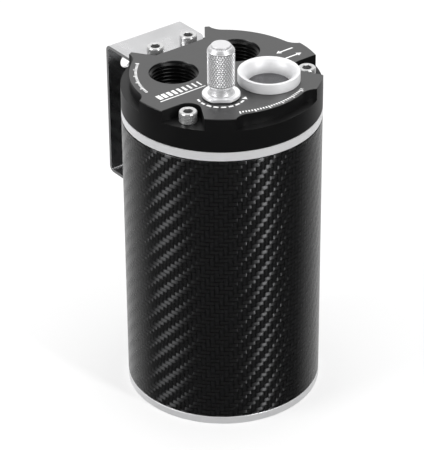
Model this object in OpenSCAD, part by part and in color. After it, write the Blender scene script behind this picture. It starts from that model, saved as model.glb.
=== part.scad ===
// Oil catch can: milled lid, turned can with a carbon sleeve, dipstick, vent, separator and folded bracket.
// Millimetres. +Z is up, the origin is the centre of the can's base, and the bracket is on the +Y side.

/* [Can] */
// Outside diameter of the lid and of the can's two bare rims
can_d = 92; // [88:0.5:98]
// Height of the can without its lid
can_h = 146.2; // [130:0.2:160]
// Height of the bare rim at the top of the can
top_rim_h = 4.2; // [3:0.1:6]
// Height of the bare rim at the base of the can
base_rim_h = 4; // [3:0.1:6]
// Wall of the can behind the sleeve
can_wall = 2.8; // [2:0.1:3.5]
// Thickness of the can's floor
floor_t = 5; // [4.5:0.1:7]
// Thickness of the carbon sleeve
sleeve_t = 1.2; // [0.8:0.1:1.6]
// Shadow gap between the sleeve's upper end and the rim
sleeve_gap = 0.4; // [0.1:0.1:0.6]
// Edge break on the can's rims
rim_chamfer = 0.3; // [0.2:0.1:0.6]

/* [Lid] */
// Height of the lid's full round disc
lid_disc_h = 10.8; // [9:0.2:14]
// Height of the lid's milled plateau above the disc
plateau_h = 5.8; // [5:0.2:6.6]
// Radial depth of the three scallops in the plateau
scallop_depth = 4.1; // [3:0.1:5]
// Angle that each scallop spans at the rim
scallop_span = 60; // [52:1:62]
// Radius where a scallop runs out to the rim
scallop_runout_r = 8; // [6:0.5:12]
// Half angle of the opening of a bolt pocket
pocket_flare = 30; // [24:1:32]
// Clearance of a bolt pocket round the bolt head
pocket_clear = 1.7; // [1.2:0.1:2]
// Rim width that the lid's seal leaves outside its groove
seal_edge_w = 1.1; // [0.9:0.1:1.3]

/* [Bolts] */
// Distance from the lid's rim in to the axes of the lid bolts
bolt_inset = 7; // [6.2:0.1:7.4]
// Nominal diameter of the lid bolts
bolt_d = 5; // [4:0.5:5.5]
// Head diameter of the lid bolts
bolt_head_d = 8.5; // [8:0.1:9]
// Head height of the lid bolts
bolt_head_h = 5; // [4:0.1:5.4]
// Width across flats of the hex sockets in the lid bolts
bolt_key = 4; // [3:0.5:4.5]
// Length of the bolts that enter the can below the lid
bolt_grip = 9; // [7:0.5:12]
// Half angle between the two bolts that hold the bracket
bracket_bolt_half_angle = 14; // [13:0.5:15.5]
// Radius of the threaded pillars inside the can
pillar_r = 5.2; // [4.6:0.1:5.6]

/* [Ports] */
// Major diameter of the thread of the two hose ports
port_d = 22.2; // [20:0.2:22.6]
// Diameter of the lead-in chamfer at each port's mouth
port_mouth_d = 22.8; // [22.6:0.1:23.8]
// Distance of each port to the side of the can's axis, as a share of the can's radius
port_x_share = 0.385; // [0.37:0.005:0.4]
// Distance of the ports from the can's axis towards the bracket, as a share of the can's radius
port_y_share = 0.274; // [0.25:0.002:0.29]

/* [Vent] */
// Outside diameter of the vent collar
collar_d = 28.4; // [26:0.2:29]
// Height of the vent collar above the lid
collar_h = 5; // [3.5:0.1:6]
// Width of the collar's flat rim
collar_rim_w = 0.6; // [0.4:0.1:1]
// Throat diameter of the vent
throat_d = 19.4; // [17:0.2:19.8]
// Outside diameter of the collar's threaded spigot
spigot_d = 23; // [22:0.2:23.4]
// Length of the collar's spigot in the lid
spigot_h = 5; // [4:0.2:8]
// Depth below the lid's face at which the bell mouth meets the mesh
mesh_drop = 1.5; // [1:0.1:2.5]
// Diameter of the wire mesh disc
mesh_d = 20.6; // [20.4:0.1:21]
// Thickness of the wire mesh disc
mesh_t = 0.6; // [0.4:0.1:1]
// Width of the ledge in the lid that the vent is screwed down on
ledge_w = 3; // [2.5:0.1:4]
// Distance of the vent to the side of the can's axis, as a share of the can's radius
vent_x_share = 0.244; // [0.23:0.002:0.256]
// Distance of the vent from the can's axis, away from the bracket, as a share of the can's radius
vent_y_share = 0.436; // [0.424:0.002:0.448]

/* [Dipstick] */
// Diameter of the dipstick's knurled grip
grip_d = 12.4; // [11.4:0.1:13]
// Height of the whole knob above the lid
knob_h = 25.6; // [22:0.2:30]
// Diameter of the knob's round foot
foot_d = 17.2; // [16.4:0.1:17.6]
// Width across the two wrench flats of the foot
foot_af = 15; // [14.4:0.1:15.6]
// Thickness of the foot
foot_t = 1.4; // [1.2:0.1:2]
// Diameter of the waist between the foot and the grip
waist_d = 10.2; // [9:0.1:10.6]
// Height of the waist between the foot and the grip
waist_h = 4.2; // [3:0.1:5]
// Fillet radius between the waist and the foot
waist_fillet = 2; // [1:0.1:2.4]
// Diameter of the button on top of the grip
button_d = 9; // [8:0.1:10]
// Height of that button
button_h = 0.8; // [0.4:0.1:1.2]
// Height of the plain bevel between the button and the grip
crown_bevel = 1.8; // [1:0.1:2.4]
// Diameter of the threaded spigot in the lid
stick_thread_d = 10; // [8:0.5:10.5]
// Length of the threaded spigot in the lid
stick_thread_h = 11; // [8:0.5:13]
// Diameter of the dipstick rod
rod_d = 4; // [3:0.5:5]
// Gap between the rod's tip and the can's floor
rod_floor_gap = 7; // [4:0.5:15]
// Distance of the dipstick to the side of the can's axis
stick_x = -14.7; // [-15.4:0.1:-14]
// Distance of the dipstick from the can's axis, away from the bracket, as a share of the can's radius
stick_y_share = 0.406; // [0.394:0.002:0.418]

/* [Bracket] */
// Thickness of the bracket's sheet
sheet_t = 1.5; // [1.2:0.1:2]
// Width of the bracket
bracket_w = 41.5; // [38:0.5:44]
// Distance from the can's outside to the bracket's wall face
wall_gap = 15.5; // [12:0.5:24]
// Height of the bracket's upright plate, outside its two folds
bracket_h = 67.5; // [50:0.5:80]
// Inside radius of the folds
fold_r = 1.5; // [1:0.1:2.5]
// Diameter of the two wall bolt holes
wall_hole_d = 6.5; // [5.3:0.1:8.4]
// Distance between the two wall bolt holes
wall_hole_pitch = 21; // [18:0.5:26]
// Distance of the wall bolt holes below the top of the bracket
wall_hole_drop = 11.5; // [8:0.5:16]
// How far the bracket's top plate reaches in from the lid's rim
tongue_reach = 14.2; // [13:0.1:15]
// Half width of the tongue at its inner end
tongue_half_w = 14; // [13:0.1:15]
// Angle that the tongue's sides flare out at
tongue_flare = 35; // [32:1:40]
// Corner radius between the tongue's flare and the plate's side edges
plate_corner_r = 5; // [3:0.5:8]

/* [Separator] */
// Diameter of the holes in the separator's plates
sieve_hole_d = 4; // [3:0.5:4.5]
// Thickness of the separator's plates
sieve_t = 1.5; // [1:0.1:2]
// Thickness of the knitted mesh pad between the plates
pad_h = 12; // [8:0.5:16]
// Length of the spacers that hang the separator from the lid
spacer_h = 14; // [10:0.5:20]
// Distance from the circle of the lid bolts in to the separator's three screws
separator_inset = 8.5; // [8:0.1:9]
// Diameter of the separator's screws
separator_screw_d = 4; // [3:0.5:4]
// Length of the separator's screws inside the lid
separator_grip = 6; // [5:0.5:7]

/* [Drain] */
// Diameter of the drain plug's thread
drain_d = 10; // [8:0.5:12]
// Head diameter of the drain plug
drain_head_d = 15; // [14:0.5:18]
// Head height of the drain plug
drain_head_h = 2.4; // [2:0.1:3]
// Diameter of the boss inside the can's floor
drain_boss_d = 20; // [18:0.5:24]
// Height of that boss above the floor
drain_boss_h = 6; // [5:0.5:8]
// Width across flats of the drain plug's hex socket
drain_key = 5; // [4:0.5:6]
// Depth of the plug's head inside the base
drain_sink = 0.4; // [0.2:0.1:0.8]
// Distance of the drain from the can's axis, away from the bracket, as a share of the can's radius
drain_y_share = 0.478; // [0.36:0.002:0.56]

/* [Fits] */
// Radial clearance of a screw in its threaded hole
thread_clear = 0.05; // [0.02:0.01:0.1]
// Radial clearance of a screw in a plain hole
bolt_clear = 0.25; // [0.15:0.05:0.4]
// Radial clearance of the dipstick's spigot in the lid
stick_clear = 0.08; // [0.04:0.01:0.1]
// Gap between the bracket and what it lies beside
bracket_gap = 0.4; // [0.3:0.1:0.6]
// Gap between the separator and the can's wall
separator_gap = 0.6; // [0.4:0.1:1]
// Diameter of the section of the seals under the vent, the dipstick and the drain plug
seal_d = 1.8; // [1.5:0.1:2]
// Radial room for a seal in its groove
groove_clear = 0.1; // [0.05:0.05:0.2]
// Share of its section that a seal is squeezed by
seal_squeeze = 0.2; // [0.1:0.05:0.3]

/* [Hidden] */
$fn = 128;

cut = 1;
can_r = can_d / 2;
waist_r = can_r - sleeve_t;
bore_r = waist_r - can_wall;
lid_z = can_h;
floor_z = lid_z + lid_disc_h;
lid_top = floor_z + plateau_h;
bolt_r = bolt_d / 2;
bolt_circle_r = can_r - bolt_inset;
pocket_r = bolt_head_d / 2 + pocket_clear;
bolt_len = floor_z - lid_z + bolt_grip;

pocket_angles = [210, 330];
bracket_bolt_angles = [90 + bracket_bolt_half_angle, 90 - bracket_bolt_half_angle];
bolt_angles = concat(pocket_angles, bracket_bolt_angles);
scallop_angles = [30, 150, 270];

seal_h = seal_d * (1 - seal_squeeze);
lid_seal_groove_w = can_r - bore_r - 2 * seal_edge_w;
lid_seal_d = lid_seal_groove_w - 2 * groove_clear;
lid_seal_h = lid_seal_d * (1 - seal_squeeze);
lid_seal_r = can_r - seal_edge_w - lid_seal_groove_w / 2;

port_x = can_r * port_x_share;
port_y = can_r * port_y_share;

vent_x = can_r * vent_x_share;
vent_y = -can_r * vent_y_share;
throat_r = throat_d / 2;
spigot_r = spigot_d / 2;
collar_r = collar_d / 2;
mesh_r = mesh_d / 2;
mesh_z = lid_top - mesh_drop - mesh_t;
ledge_z = lid_top - spigot_h;
vent_seal_r = spigot_r + thread_clear + groove_clear + seal_d / 2;

stick_y = -can_r * stick_y_share;
stick_r = stick_thread_d / 2;
stick_seal_r = stick_r + stick_clear + groove_clear + seal_d / 2;
foot_gap = 0.4;
foot_z = lid_top + foot_gap;
stick_groove_h = seal_h - foot_gap;
knob_top = lid_top + knob_h;
grip_z = foot_z + foot_t + waist_h;
rod_socket_h = 6;
rod_bottom = floor_t + rod_floor_gap;
rod_top = lid_top - stick_thread_h + rod_socket_h;

wall_y = can_r + wall_gap;
tongue_y = can_r - tongue_reach;
tongue_top = floor_z + sheet_t;
web_bottom = tongue_top - bracket_h;
recess_gap = bracket_gap * 2;

spacer_d = 7;
separator_r = bolt_circle_r - separator_inset;
separator_angles = [90, 195, 345];
upper_z = lid_z - spacer_h - sieve_t;
pad_z = upper_z - pad_h;
lower_z = pad_z - sieve_t;
screw_r = separator_screw_d / 2;
screw_head_h = separator_screw_d;
screw_head_d = 7;
screw_key = 3;

drain_y = -can_r * drain_y_share;
drain_r = drain_d / 2;
drain_seat_z = drain_sink + drain_head_h;
drain_seal_r = drain_r + thread_clear + groove_clear + seal_d / 2;

// A ring whose round section is squeezed flat between two faces, centred on z = 0
module squeezed_ring(radius, section_d, squeezed_h) {
    rotate_extrude()
        translate([radius, 0])
            intersection() {
                circle(d = section_d, $fn = 48);
                square([2 * section_d, squeezed_h], center = true);
            }
}

// A hexagonal prism that stands on z = 0 and is measured across its flats
module hex_prism(across_flats, height) {
    cylinder(h = height, d = across_flats / cos(30), $fn = 6);
}

// A round bar that stands on z = 0, with its top edge bevelled
module bevelled_bar(radius, height, bevel) {
    cylinder(h = height - bevel, r = radius);
    translate([0, 0, height - bevel])
        cylinder(h = bevel, r1 = radius, r2 = radius - bevel);
}

// A socket head screw: the head stands on z = 0 and the shank hangs below it
module socket_screw(radius, shank_len, head_d, head_h, key) {
    head_bevel = 0.4;
    tip_bevel = 0.6;
    difference() {
        bevelled_bar(head_d / 2, head_h, head_bevel);
        translate([0, 0, head_h / 2]) hex_prism(key, head_h);
    }
    translate([0, 0, tip_bevel - shank_len])
        cylinder(h = shank_len - tip_bevel, r = radius);
    translate([0, 0, -shank_len])
        cylinder(h = tip_bevel, r1 = radius - tip_bevel, r2 = radius);
}

module at_bolt(angle, z) {
    rotate(angle) translate([bolt_circle_r, 0, z]) children();
}

module at_port(side, z) {
    translate([side * port_x, port_y, z]) children();
}

module at_vent(z) {
    translate([vent_x, vent_y, z]) children();
}

module at_stick(z) {
    translate([stick_x, stick_y, z]) children();
}

module at_drain(z) {
    translate([0, drain_y, z]) children();
}

module at_separator_screw(index, z) {
    rotate(separator_angles[index]) translate([separator_r, 0, z]) children();
}

// The can's turned outside, solid, with a waist for the sleeve between its two rims
module can_outside() {
    rotate_extrude()
        polygon([
            [0, 0],
            [can_r - rim_chamfer, 0],
            [can_r, rim_chamfer],
            [can_r, base_rim_h - rim_chamfer],
            [can_r - rim_chamfer, base_rim_h],
            [waist_r, base_rim_h],
            [waist_r, can_h - top_rim_h],
            [can_r, can_h - top_rim_h],
            [can_r, can_h],
            [0, can_h]
        ]);
}

// The can's bore less the four threaded pillars that stand in it
module can_inside() {
    difference() {
        translate([0, 0, floor_t]) cylinder(h = can_h, r = bore_r);
        for (angle = bolt_angles)
            at_bolt(angle, floor_t - cut) cylinder(h = can_h, r = pillar_r, $fn = 64);
        at_drain(floor_t - cut) cylinder(h = drain_boss_h + cut, d = drain_boss_d);
    }
}

module can_body() {
    drill_tip = 2;
    color("silver") difference() {
        can_outside();
        can_inside();
        for (angle = bolt_angles)
            at_bolt(angle, can_h - bolt_grip - drill_tip)
                cylinder(h = can_h, r = bolt_r + thread_clear, $fn = 64);
        at_drain(-cut)
            cylinder(h = floor_t + drain_boss_h + 2 * cut, r = drain_r + thread_clear);
        at_drain(-cut) cylinder(h = cut + drain_seat_z, d = drain_head_d + 2 * bracket_gap);
        at_drain(drain_seat_z - cut)
            cylinder(h = cut + seal_h, r = drain_seal_r + seal_d / 2 + groove_clear);
    }
}

module carbon_sleeve() {
    color([0.06, 0.06, 0.065]) translate([0, 0, base_rim_h]) difference() {
        cylinder(h = can_h - top_rim_h - base_rim_h - sleeve_gap, r = can_r);
        translate([0, 0, -cut]) cylinder(h = can_h, r = waist_r);
    }
}

// Points along an arc about a centre, both ends included
function arc_points(centre, radius, from, to, steps) =
    [for (i = [0:steps]) let (a = from + (to - from) * i / steps)
        centre + radius * [cos(a), sin(a)]];

// One scallop's cutter: an arc that runs out to the rim in a cove at each end
module scallop_2d() {
    arc_r = can_r - scallop_depth;
    cove_c = arc_r + scallop_runout_r;
    rim_angle = acos((can_r * can_r + cove_c * cove_c
        - scallop_runout_r * scallop_runout_r) / (2 * can_r * cove_c));
    half = scallop_span / 2 - rim_angle;
    cove_centre = cove_c * [cos(half), sin(half)];
    rim_point = can_r * [cos(scallop_span / 2), sin(scallop_span / 2)];
    to_rim = rim_point - cove_centre;
    cove_turn = (half + 180 - atan2(to_rim[1], to_rim[0]) + 360) % 360;
    overrun = 8;
    side = concat(
        arc_points([0, 0], arc_r, half / 12, half, 11),
        arc_points(cove_centre, scallop_runout_r, half + 180 - cove_turn / 6,
            half + 180 - cove_turn - overrun, 6)
    );
    last = len(side) - 1;
    polygon(concat(
        [for (i = [last:-1:0]) [side[i][0], -side[i][1]]],
        side,
        [[can_r + 3 * cut, side[last][1]], [can_r + 3 * cut, -side[last][1]]]
    ));
}

// One bolt pocket's cutter: round behind the bolt and flared out to the rim
module pocket_2d() {
    reach = can_r + cut - bolt_circle_r;
    turn = 90 + pocket_flare;
    mouth = pocket_r * cos(pocket_flare)
        + (reach + pocket_r * sin(pocket_flare)) * tan(pocket_flare);
    translate([bolt_circle_r, 0]) polygon(concat(
        arc_points([0, 0], pocket_r, turn, 360 - turn, 16),
        [[reach, -mouth], [reach, mouth]]
    ));
}

// The tongue's plan: a straight inner end whose sides flare, with a round corner, to the plate's full width
module tongue_2d() {
    half = bracket_w / 2;
    flare_y = tongue_y + (half - tongue_half_w) / tan(tongue_flare);
    corner_y = flare_y + plate_corner_r * tan(tongue_flare / 2);
    corner = arc_points([half - plate_corner_r, corner_y], plate_corner_r, -tongue_flare, 0, 5);
    polygon(concat(
        [[-tongue_half_w, tongue_y], [tongue_half_w, tongue_y]],
        corner,
        [[half, can_d], [-half, can_d]],
        [for (i = [5:-1:0]) [-corner[i][0], corner[i][1]]]
    ));
}

// The recess that the tongue lies in: its inner end and its flare moved out by the gap, up to the rim
module recess_2d() {
    inner_y = tongue_y - recess_gap;
    inner_half = tongue_half_w + recess_gap * tan(45 - tongue_flare / 2);
    outer_y = can_r + cut;
    outer_half = inner_half + (outer_y - inner_y) * tan(tongue_flare);
    polygon([
        [-inner_half, inner_y],
        [inner_half, inner_y],
        [outer_half, outer_y],
        [-outer_half, outer_y]
    ]);
}

// All that is milled off the lid's top face: scallops, bolt pockets and the bracket's recess
module plateau_cuts() {
    for (angle = scallop_angles) rotate(angle) milled() scallop_2d();
    for (angle = pocket_angles) rotate(angle) milled() pocket_2d();
    milled() recess_2d();
}

// Takes a plan from the plateau's floor up past the lid's top face
module milled() {
    translate([0, 0, floor_z]) linear_extrude(height = plateau_h + cut) children();
}

// A port's bore with the lead-in chamfer at its mouth
module port_cut() {
    mouth_h = (port_mouth_d - port_d) / 2 + 0.2;
    translate([0, 0, lid_z - cut]) cylinder(h = lid_top - lid_z + 2 * cut, d = port_d);
    translate([0, 0, lid_top - mouth_h])
        cylinder(h = mouth_h + 0.01, d1 = port_d, d2 = port_mouth_d);
}

module vent_cut() {
    translate([0, 0, lid_z - cut])
        cylinder(h = lid_top, r = spigot_r - ledge_w);
    translate([0, 0, ledge_z]) cylinder(h = lid_top, r = spigot_r + thread_clear);
    translate([0, 0, lid_top - seal_h])
        cylinder(h = lid_top, r = vent_seal_r + seal_d / 2 + groove_clear);
}

module stick_cut() {
    translate([0, 0, lid_z - cut]) cylinder(h = lid_top, r = stick_r + stick_clear);
    translate([0, 0, lid_top - stick_groove_h])
        cylinder(h = lid_top, r = stick_seal_r + seal_d / 2 + groove_clear);
}

module lid_seal_groove() {
    translate([0, 0, lid_z - cut]) difference() {
        cylinder(h = cut + lid_seal_h, r = lid_seal_r + lid_seal_groove_w / 2);
        translate([0, 0, -cut])
            cylinder(h = 4 * cut + lid_seal_h, r = lid_seal_r - lid_seal_groove_w / 2);
    }
}

// The lid's turned blank, with a small edge break all round
module lid_section_2d() {
    polygon([
        [0, lid_z],
        [can_r - rim_chamfer, lid_z],
        [can_r, lid_z + rim_chamfer],
        [can_r, lid_top - rim_chamfer],
        [can_r - rim_chamfer, lid_top],
        [0, lid_top]
    ]);
}

module lid() {
    tap_tip = 1;
    color([0.16, 0.16, 0.17]) difference() {
        rotate(scallop_angles[2]) rotate_extrude() lid_section_2d();
        plateau_cuts();
        for (side = [-1, 1]) at_port(side, 0) port_cut();
        at_vent(0) vent_cut();
        at_stick(0) stick_cut();
        for (angle = bolt_angles)
            at_bolt(angle, lid_z - cut)
                cylinder(h = lid_disc_h + 2 * cut, r = bolt_r + bolt_clear, $fn = 64);
        for (index = [0:2])
            at_separator_screw(index, lid_z - cut)
                cylinder(h = cut + separator_grip + tap_tip, r = screw_r + thread_clear, $fn = 48);
        lid_seal_groove();
    }
}

module lid_seal() {
    color([0.08, 0.08, 0.08]) translate([0, 0, lid_z + lid_seal_h / 2])
        squeezed_ring(lid_seal_r, lid_seal_d, lid_seal_h);
}

module lid_bolt(angle) {
    color("gainsboro") at_bolt(angle, floor_z)
        socket_screw(bolt_r, bolt_len, bolt_head_d, bolt_head_h, bolt_key);
}

module bracket_bolt(angle) {
    color("gainsboro") at_bolt(angle, tongue_top)
        socket_screw(bolt_r, bolt_len + sheet_t, bolt_head_d, bolt_head_h, bolt_key);
}

// The bracket's side view, from the lid's top plate down the wall to the lower lip
module bracket_profile_2d() {
    outer_r = fold_r + sheet_t;
    lip_y = 0;
    difference() {
        union() {
            translate([lip_y, web_bottom + outer_r])
                square([wall_y - lip_y, bracket_h - 2 * outer_r]);
            translate([lip_y, web_bottom]) square([wall_y - outer_r - lip_y, bracket_h]);
            for (z = [web_bottom + outer_r, tongue_top - outer_r])
                translate([wall_y - outer_r, z]) circle(r = outer_r, $fn = 64);
        }
        translate([lip_y - cut, web_bottom + outer_r])
            square([wall_y - sheet_t - lip_y + cut, bracket_h - 2 * outer_r]);
        translate([lip_y - cut, web_bottom + sheet_t])
            square([wall_y - outer_r - lip_y + cut, bracket_h - 2 * sheet_t]);
        for (z = [web_bottom + outer_r, tongue_top - outer_r])
            translate([wall_y - outer_r, z]) circle(r = fold_r, $fn = 64);
    }
}

module bracket() {
    lip_corner_r = 3;
    color([0.82, 0.82, 0.83]) difference() {
        rotate([90, 0, 90])
            linear_extrude(height = bracket_w, center = true) bracket_profile_2d();
        translate([0, 0, tongue_top - sheet_t - cut]) linear_extrude(height = 2 * cut + sheet_t)
            difference() {
                square([2 * can_d, 2 * wall_y - 4 * (fold_r + sheet_t)], center = true);
                tongue_2d();
            }
        translate([0, 0, web_bottom - cut])
            cylinder(h = 2 * cut + sheet_t, r = can_r + bracket_gap);
        translate([0, 0, web_bottom - cut]) linear_extrude(height = 2 * cut + sheet_t)
            lip_ends_2d(lip_corner_r);
        for (angle = bracket_bolt_angles)
            at_bolt(angle, tongue_top - sheet_t - cut)
                cylinder(h = 2 * cut + sheet_t, r = bolt_r + bolt_clear, $fn = 64);
        for (side = [-1, 1])
            translate([side * wall_hole_pitch / 2, wall_y + cut, tongue_top - wall_hole_drop])
                rotate([90, 0, 0])
                    cylinder(h = 2 * cut + sheet_t, d = wall_hole_d, $fn = 64);
    }
}

// What rounds the sharp ends that the lip would have beside the can
module lip_ends_2d(corner_r) {
    half = bracket_w / 2;
    end_y = sqrt(pow(can_r + bracket_gap, 2) - pow(half, 2)) + corner_r;
    for (side = [-1, 1])
        difference() {
            translate([side * half - corner_r, end_y - 2 * corner_r])
                square([2 * corner_r, 2 * corner_r]);
            translate([side * (half - corner_r), end_y]) circle(r = corner_r, $fn = 64);
        }
}

// Half of the knob's turned outline, from the underside of its foot up
module knob_section_2d() {
    foot_top = foot_z + foot_t;
    waist_r = waist_d / 2;
    grip_r = grip_d / 2;
    difference() {
        union() {
            translate([0, foot_z]) square([waist_r + waist_fillet, foot_t + waist_fillet]);
            translate([0, foot_z]) square([waist_r, foot_t + waist_h]);
            translate([0, grip_z]) polygon([
                [0, 0],
                [waist_r, waist_r - grip_r],
                [grip_r, 0],
                [grip_r, knob_top - grip_z - crown_bevel - button_h],
                [button_d / 2 + button_h / 2, knob_top - grip_z - button_h],
                [button_d / 2, knob_top - grip_z - button_h],
                [button_d / 2, knob_top - grip_z],
                [0, knob_top - grip_z]
            ]);
        }
        translate([waist_r + waist_fillet, foot_top + waist_fillet])
            circle(r = waist_fillet, $fn = 48);
    }
}

module dipstick_knob() {
    flat_turn = -127.5;
    spigot_bottom = lid_top - stick_thread_h;
    color("gainsboro") at_stick(0) difference() {
        union() {
            translate([0, 0, foot_z]) intersection() {
                cylinder(h = foot_t, d = foot_d);
                rotate(flat_turn) translate([0, 0, foot_t / 2])
                    cube([foot_af, foot_d + cut, foot_t + cut], center = true);
            }
            translate([0, 0, spigot_bottom])
                cylinder(h = foot_z + foot_t - spigot_bottom, r = stick_r);
            rotate_extrude() knob_section_2d();
        }
        translate([0, 0, spigot_bottom - cut])
            cylinder(h = rod_socket_h + cut, r = rod_d / 2 + thread_clear / 2, $fn = 48);
    }
}

module dipstick_rod() {
    mark_depth = 0.4;
    mark_w = 1;
    mark_z = [rod_bottom + 14, rod_bottom + 44, rod_bottom + 74];
    rod_r = rod_d / 2;
    color("silver") at_stick(0) difference() {
        union() {
            translate([0, 0, rod_bottom + rod_r])
                cylinder(h = rod_top - rod_bottom - rod_r, r = rod_r, $fn = 48);
            translate([0, 0, rod_bottom + rod_r]) sphere(r = rod_r, $fn = 48);
        }
        for (z = mark_z)
            translate([0, 0, z]) difference() {
                cylinder(h = mark_w, r = rod_r + cut, $fn = 48);
                translate([0, 0, -cut]) cylinder(h = mark_w + 2 * cut, r = rod_r - mark_depth, $fn = 48);
            }
    }
}

module dipstick_seal() {
    color([0.08, 0.08, 0.08]) at_stick(foot_z - seal_h / 2)
        squeezed_ring(stick_seal_r, seal_d, seal_h);
}

// The vent collar: a bell mouth over a threaded spigot, counterbored from below for the mesh
module vent_collar() {
    collar_top = lid_top + collar_h;
    throat_z = mesh_z + mesh_t;
    edge = 0.3;
    color("gainsboro") at_vent(0) rotate_extrude() difference() {
        union() {
            polygon([
                [0, lid_top],
                [collar_r - edge, lid_top],
                [collar_r, lid_top + edge],
                [collar_r, collar_top - edge],
                [collar_r - edge, collar_top],
                [0, collar_top]
            ]);
            translate([0, ledge_z]) square([spigot_r, spigot_h + cut]);
        }
        bell_mouth_2d(throat_z, collar_r - collar_rim_w - throat_r, collar_top - throat_z);
        translate([0, ledge_z - cut]) square([mesh_r + thread_clear, throat_z - ledge_z + cut]);
    }
}

// The space inside the bell: an upright throat that curves out to a wide rim
module bell_mouth_2d(z, width, height) {
    steps = 24;
    polygon(concat(
        [[0, z - cut], [throat_r, z - cut]],
        [for (i = [0:steps]) let (a = 90 * i / steps)
            [throat_r + width * (1 - cos(a)), z + height * sin(a)]],
        [[throat_r + width, z + height + cut], [0, z + height + cut]]
    ));
}

module vent_mesh() {
    color([0.35, 0.35, 0.36]) at_vent(mesh_z) cylinder(h = mesh_t, r = mesh_r);
}

// The ring that stands on the lid's ledge and holds the mesh up in the collar
module mesh_ring() {
    color("silver") at_vent(ledge_z) difference() {
        cylinder(h = mesh_z - ledge_z, r = mesh_r);
        translate([0, 0, -cut]) cylinder(h = spigot_h + cut, r = spigot_r - ledge_w);
    }
}

module vent_seal() {
    color([0.08, 0.08, 0.08]) at_vent(lid_top - seal_h / 2)
        squeezed_ring(vent_seal_r, seal_d, seal_h);
}

// The plan that the separator's plates and pad share: the can's bore less its pillars
module separator_2d() {
    difference() {
        circle(r = bore_r - separator_gap);
        for (angle = bolt_angles)
            rotate(angle) translate([bolt_circle_r, 0]) circle(r = pillar_r + separator_gap);
        for (angle = separator_angles)
            rotate(angle) translate([separator_r, 0]) circle(r = screw_r + bolt_clear, $fn = 48);
        translate([stick_x, stick_y]) circle(r = rod_d / 2 + 1, $fn = 48);
    }
}

// A perforated plate: rings of holes that stay clear of the screws and the dipstick
module sieve(phase) {
    margin = 2;
    stick_room = sieve_hole_d + margin;
    screw_room = (screw_head_d + sieve_hole_d + margin) / 2;
    ring_pitch = bore_r / 5;
    linear_extrude(height = sieve_t) difference() {
        separator_2d();
        for (ring = [1:3]) let (count = 6 * ring, radius = ring_pitch * ring)
            for (i = [0:count - 1]) let (
                angle = phase + 360 * i / count,
                place = radius * [cos(angle), sin(angle)],
                to_stick = norm(place - [stick_x, stick_y]),
                to_screw = min([for (a = separator_angles)
                    norm(place - separator_r * [cos(a), sin(a)])])
            )
                if (to_stick > stick_room && to_screw > screw_room)
                    translate(place) circle(d = sieve_hole_d, $fn = 24);
    }
}

module sieve_upper() {
    color("silver") translate([0, 0, upper_z]) sieve(0);
}

module mesh_pad() {
    color([0.6, 0.6, 0.6]) translate([0, 0, pad_z])
        linear_extrude(height = pad_h) separator_2d();
}

module sieve_lower() {
    color("silver") translate([0, 0, lower_z]) sieve(15);
}

module spacer(index) {
    color("silver") at_separator_screw(index, upper_z + sieve_t) difference() {
        cylinder(h = spacer_h, d = spacer_d, $fn = 64);
        translate([0, 0, -cut])
            cylinder(h = spacer_h + 2 * cut, r = screw_r + bolt_clear, $fn = 48);
    }
}

// A separator screw hangs head down, so it is the upright screw turned over
module separator_screw(index) {
    color("gainsboro") at_separator_screw(index, lower_z) rotate([180, 0, 0])
        socket_screw(screw_r, lid_z - lower_z + separator_grip, screw_head_d, screw_head_h, screw_key);
}

module drain_plug() {
    plug_len = floor_t + drain_boss_h - drain_seat_z - 1;
    color("gainsboro") difference() {
        union() {
            at_drain(drain_sink) cylinder(h = drain_head_h, d = drain_head_d);
            at_drain(drain_sink) cylinder(h = drain_head_h + plug_len, r = drain_r);
        }
        at_drain(drain_sink - cut) hex_prism(drain_key, cut + 1.5 * drain_head_h);
    }
}

module drain_seal() {
    color([0.08, 0.08, 0.08]) at_drain(drain_seat_z + seal_h / 2)
        squeezed_ring(drain_seal_r, seal_d, seal_h);
}

can_body();
carbon_sleeve();
lid();
lid_seal();
lid_bolt(pocket_angles[0]);  // lid_bolt_left
lid_bolt(pocket_angles[1]);  // lid_bolt_right
bracket_bolt(bracket_bolt_angles[0]);  // bracket_bolt_left
bracket_bolt(bracket_bolt_angles[1]);  // bracket_bolt_right
bracket();
dipstick_knob();
dipstick_rod();
dipstick_seal();
vent_collar();
vent_mesh();
mesh_ring();
vent_seal();
sieve_upper();
mesh_pad();
sieve_lower();
spacer(0);  // spacer_back
spacer(1);  // spacer_left
spacer(2);  // spacer_right
separator_screw(0);  // separator_screw_back
separator_screw(1);  // separator_screw_left
separator_screw(2);  // separator_screw_right
drain_plug();
drain_seal();
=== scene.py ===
"""Looks of the oil catch can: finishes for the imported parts, modelled replacements, studio and camera."""

import logging
import math
from contextlib import contextmanager
from dataclasses import dataclass
from enum import Enum
from typing import Iterator, Optional, Sequence, Union

import bpy
from mathutils import Matrix, Vector


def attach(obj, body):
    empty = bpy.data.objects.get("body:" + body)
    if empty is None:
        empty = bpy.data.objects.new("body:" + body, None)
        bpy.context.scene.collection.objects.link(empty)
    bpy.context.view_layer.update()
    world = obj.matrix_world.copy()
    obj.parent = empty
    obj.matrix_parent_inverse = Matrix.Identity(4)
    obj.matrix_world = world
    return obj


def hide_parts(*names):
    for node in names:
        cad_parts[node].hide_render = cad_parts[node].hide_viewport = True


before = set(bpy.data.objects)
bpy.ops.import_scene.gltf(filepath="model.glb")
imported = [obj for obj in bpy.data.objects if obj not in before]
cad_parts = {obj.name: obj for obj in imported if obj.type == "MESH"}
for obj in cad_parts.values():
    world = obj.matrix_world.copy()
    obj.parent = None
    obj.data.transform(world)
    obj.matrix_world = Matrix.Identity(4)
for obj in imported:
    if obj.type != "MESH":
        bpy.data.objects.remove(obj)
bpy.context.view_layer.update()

LOG = logging.getLogger("catch_can")
MM = 0.001
INCH = 25.4 * MM
FULL_TURN = 2 * math.pi
LID_TOP = 162.8 * MM
LID_FLOOR = 157.0 * MM
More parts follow.
